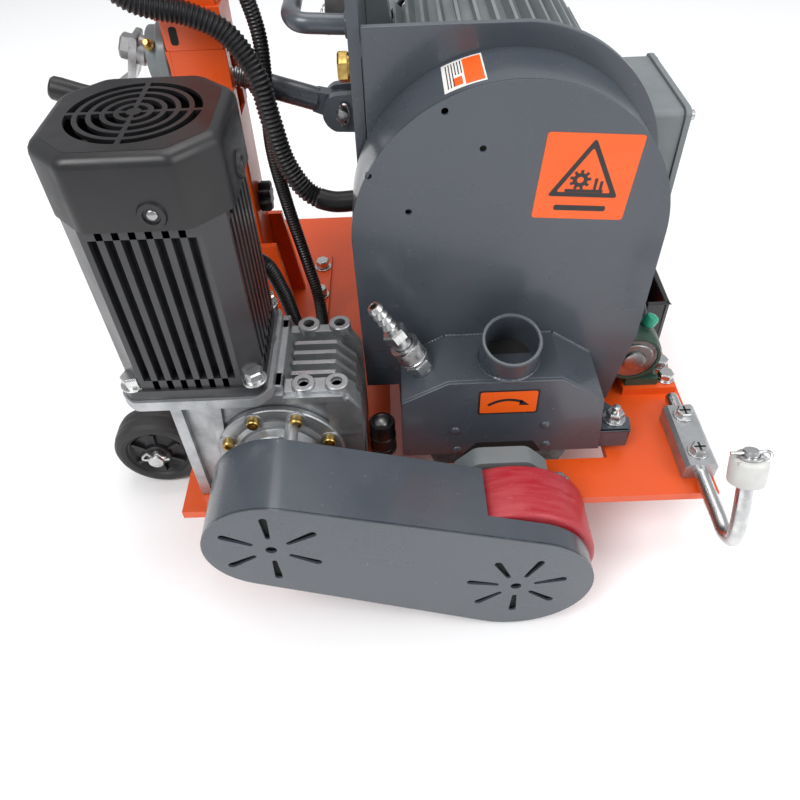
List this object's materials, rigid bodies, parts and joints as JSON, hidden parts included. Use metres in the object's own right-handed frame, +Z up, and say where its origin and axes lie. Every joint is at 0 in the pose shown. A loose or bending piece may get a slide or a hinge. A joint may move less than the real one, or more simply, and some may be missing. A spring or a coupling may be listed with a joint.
{
  "type": "electric concrete grinder",
  "caption": "Walk-behind electric concrete grinder: narrow cutter wheel on a tilting motor frame, screw jack for depth, chain-driven wheel, mast with handlebar.",
  "frame": {"origin": "centre of the bounding box on the floor plane that the wheels stand on", "axes": "+X forward, +Y to the far side (away from the chain guard), +Z up"},
  "size_m": [0.6831, 0.545, 0.8545],
  "materials": {
    "orange_paint": "glossy powder coat",
    "grey_paint": "satin paint, dark grey",
    "black_paint": "satin paint, black",
    "motor_paint": "grey machine enamel",
    "green_cast": "green enamel on cast iron",
    "cast_aluminium": "cast, lightly brushed",
    "zinc_steel": "zinc plated",
    "bare_steel": "machined",
    "cutter_steel": "worn, dull",
    "red_tyre": "polyurethane, worn",
    "black_tyre": "rubber",
    "hub_iron": "rough, rusty",
    "black_plastic": "moulded",
    "grip_rubber": "soft grip",
    "belt_rubber": "belt",
    "white_nylon": "machined nylon",
    "box_plastic": "moulded",
    "green_button": "moulded",
    "red_button": "moulded"
  },
  "bodies": {
    "chassis": {"drive_wheel_bracket": "motor_paint", "idler_wheel_bracket": "motor_paint", "rear_axle": "zinc_steel", "base_plate": "orange_paint", "gearbox_housing": "cast_aluminium", "drive_chain": "bare_steel", "chain_guard": "grey_paint", "gearbox_cover": "cast_aluminium", "gearbox_motor_adapter": "cast_aluminium", "drive_motor_body": "black_paint", "drive_motor_fan_cover": "black_paint", "pivot_bearing_near": "green_cast", "pivot_bearing_far": "green_cast", "front_stop_bracket": "black_paint", "mast_foot": "orange_paint", "mast": "orange_paint", "jack_bearing_flange": "motor_paint", "handlebar": "orange_paint", "hand_grip_near": "grip_rubber", "hand_grip_far": "grip_rubber", "control_box": "box_plastic", "guide_clamp_block": "cast_aluminium", "bump_stop": "black_plastic", "main_motor_conduit": "black_plastic", "drive_motor_conduit": "black_plastic"},
    "drive_wheel": {"drive_wheel_tyre": "red_tyre", "drive_wheel_hub": "hub_iron"},
    "gearbox_output": {"gearbox_output_sprocket": "bare_steel"},
    "drive_rotor": {"drive_motor_rotor": "bare_steel"},
    "idler": {"idler_wheel": "red_tyre"},
    "rear_near": {"rear_wheel_near": "black_tyre"},
    "rear_far": {"rear_wheel_far": "black_tyre"},
    "swing_frame": {"motor_bracket": "grey_paint", "belt_back_plate": "grey_paint", "belt_guard": "grey_paint", "cutter_housing": "grey_paint", "water_coupler": "zinc_steel", "spindle_bearing_housing": "motor_paint", "drive_belt": "belt_rubber", "main_motor_frame": "motor_paint", "main_motor_fan_cover": "motor_paint", "terminal_box_cover": "motor_paint", "lifting_handle": "grey_paint", "clevis_pin": "zinc_steel"},
    "cutter_spindle": {"spindle_shaft": "bare_steel", "cutter_wheel": "cutter_steel", "spindle_pulley": "bare_steel"},
    "motor_rotor": {"main_motor_rotor": "bare_steel", "motor_pulley": "bare_steel"},
    "coupler_sleeve": {"water_coupler_sleeve": "zinc_steel"},
    "jack_swivel": {"jack_bearing_insert": "bare_steel"},
    "crank": {"jack_crank": "bare_steel"},
    "crank_grip": {"jack_crank_grip": "black_plastic"},
    "jack_tube": {"jack_tube": "grey_paint"},
    "knob": {"mast_knob": "black_plastic"},
    "start": {"start_button": "green_button"},
    "stop": {"emergency_stop": "red_button"},
    "guide": {"guide_rod": "zinc_steel", "roller_retaining_clip": "zinc_steel"},
    "guide_roller": {"guide_roller": "white_nylon"}
  },
  "joints": [
    {"name": "depth_tilt", "type": "hinge", "parent": "chassis", "child": "swing_frame", "pos_m": [0.2905, 0.0185, 0.116], "axis": [0, 1, 0], "range_deg": [-4, 1.5], "deforming": ["main_motor_conduit"]},
    {"name": "jack_swivel_hinge", "type": "hinge", "parent": "chassis", "child": "jack_swivel", "pos_m": [-0.0915, 0.0525, 0.3325], "axis": [0, 1, 0], "range_deg": [-3, 8]},
    {"name": "jack_crank_turn", "type": "hinge", "parent": "jack_swivel", "child": "crank", "pos_m": [-0.0915, 0.0525, 0.3325], "axis": [0.949, 0, -0.3152], "range_deg": [-178, 473]},
    {"name": "crank_grip_spin", "type": "hinge", "parent": "crank", "child": "crank_grip", "pos_m": [-0.1642, 0.0525, 0.30396], "axis": [0.949, 0, -0.3152], "continuous": true},
    {"name": "jack_tube_slide", "type": "slide", "parent": "jack_swivel", "child": "jack_tube", "axis": [0.949, 0, -0.3152], "range_m": [-0.0053, 0.002]},
    {"name": "motor_spin", "type": "hinge", "parent": "swing_frame", "child": "motor_rotor", "pos_m": [0.1695, 0.1325, 0.255], "axis": [0, 1, 0], "continuous": true},
    {"name": "cutter_spin", "type": "hinge", "parent": "swing_frame", "child": "cutter_spindle", "pos_m": [0.1695, -0.0625, 0.084], "axis": [0, 1, 0], "continuous": true},
    {"name": "coupler_sleeve_slide", "type": "slide", "parent": "swing_frame", "child": "coupler_sleeve", "axis": [-0.4852, 0, 0.8744], "range_m": [0, 0.006], "stiffness_N_per_m": 600},
    {"name": "drive_wheel_spin", "type": "hinge", "parent": "chassis", "child": "drive_wheel", "pos_m": [0.1685, -0.2295, 0.0625], "axis": [0, 1, 0], "continuous": true},
    {"name": "gearbox_output_spin", "type": "hinge", "parent": "chassis", "child": "gearbox_output", "pos_m": [-0.0045, -0.2025, 0.124], "axis": [0, 1, 0], "continuous": true},
    {"name": "drive_motor_spin", "type": "hinge", "parent": "chassis", "child": "drive_rotor", "pos_m": [-0.0525, -0.1475, 0.27], "axis": [0, 0, 1], "continuous": true},
    {"name": "idler_wheel_spin", "type": "hinge", "parent": "chassis", "child": "idler", "pos_m": [0.1685, 0.2495, 0.0625], "axis": [0, 1, 0], "continuous": true},
    {"name": "rear_wheel_near_spin", "type": "hinge", "parent": "chassis", "child": "rear_near", "pos_m": [-0.1395, -0.0995, 0.04], "axis": [0, 1, 0], "continuous": true},
    {"name": "rear_wheel_far_spin", "type": "hinge", "parent": "chassis", "child": "rear_far", "pos_m": [-0.1395, 0.1205, 0.04], "axis": [0, 1, 0], "continuous": true},
    {"name": "mast_knob_turn", "type": "hinge", "parent": "chassis", "child": "knob", "pos_m": [-0.0295, 0.0525, 0.206], "axis": [1, 0, 0], "continuous": true},
    {"name": "start_button_press", "type": "slide", "parent": "chassis", "child": "start", "axis": [1, 0, 0], "range_m": [0, 0.0035], "stiffness_N_per_m": 800},
    {"name": "emergency_stop_press", "type": "slide", "parent": "chassis", "child": "stop", "axis": [1, 0, 0], "range_m": [0, 0.0045], "stiffness_N_per_m": 800},
    {"name": "guide_rod_slide", "type": "slide", "parent": "chassis", "child": "guide", "axis": [0, -1, 0], "range_m": [-0.008, 0.045]},
    {"name": "guide_roller_spin", "type": "hinge", "parent": "guide", "child": "guide_roller", "pos_m": [0.3265, -0.24182, 0.1368], "axis": [0, 0.3799, 0.925], "continuous": true}
  ],
  "couplings": [
    {"joint": "jack_swivel_hinge", "follows": "depth_tilt", "ratio": -1.995},
    {"joint": "jack_tube_slide", "follows": "depth_tilt", "m_per_rad": 0.075},
    {"joint": "jack_crank_turn", "follows": "depth_tilt", "ratio": -117.81},
    {"joint": "cutter_spin", "follows": "motor_spin", "ratio": 1.2941},
    {"joint": "gearbox_output_spin", "follows": "drive_wheel_spin", "ratio": 1.2692},
    {"joint": "drive_motor_spin", "follows": "drive_wheel_spin", "ratio": 38.077}
  ]
}
